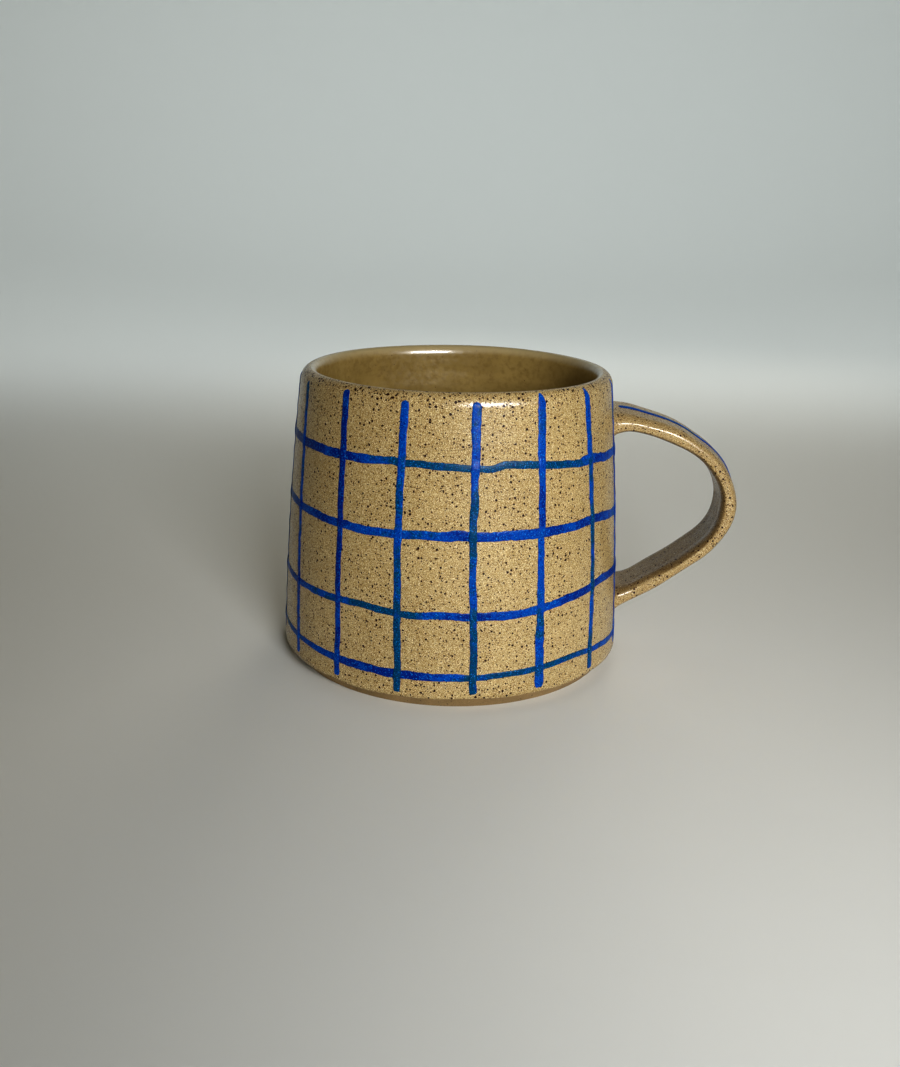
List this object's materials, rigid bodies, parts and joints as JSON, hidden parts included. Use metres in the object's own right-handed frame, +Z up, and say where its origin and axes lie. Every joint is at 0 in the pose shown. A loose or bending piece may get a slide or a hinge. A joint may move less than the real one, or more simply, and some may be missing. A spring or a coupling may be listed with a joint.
{
  "type": "mug",
  "caption": "Hand-thrown stoneware mug that narrows towards the lip, with an ear-shaped strap handle, a speckled tan glaze outside, a plain olive-brown one inside and a painted blue grid.",
  "frame": {"origin": "centre of the foot, on the mug's axis, in the plane that it stands on", "axes": "+Z up along the mug's axis; +X from the axis towards the handle; -Y is the side that faces a viewer who has the handle on the right"},
  "size_m": [0.127, 0.0954, 0.08],
  "materials": {
    "stoneware_clay": "matte, bare fired clay",
    "speckled_glaze": "glossy, speckled with iron",
    "plain_glaze": "satin",
    "blue_paint": "glossy, brush painted"
  },
  "bodies": {
    "root": {"handle_glaze": "speckled_glaze", "handle_strap": "stoneware_clay", "handle_stroke": "blue_paint", "liner_glaze": "plain_glaze", "lower_joint_clay": "stoneware_clay", "lower_middle_ring_stroke": "blue_paint", "lower_ring_stroke": "blue_paint", "outer_glaze": "speckled_glaze", "thrown_body": "stoneware_clay", "upper_joint_clay": "stoneware_clay", "upper_middle_ring_stroke": "blue_paint", "upper_ring_stroke": "blue_paint", "upright_stroke_01": "blue_paint", "upright_stroke_02": "blue_paint", "upright_stroke_03": "blue_paint", "upright_stroke_04": "blue_paint", "upright_stroke_05": "blue_paint", "upright_stroke_06": "blue_paint", "upright_stroke_07": "blue_paint", "upright_stroke_08": "blue_paint", "upright_stroke_09": "blue_paint", "upright_stroke_10": "blue_paint", "upright_stroke_11": "blue_paint", "upright_stroke_12": "blue_paint", "upright_stroke_13": "blue_paint", "upright_stroke_14": "blue_paint", "upright_stroke_15": "blue_paint", "upright_stroke_16": "blue_paint"}
  },
  "joints": []
}
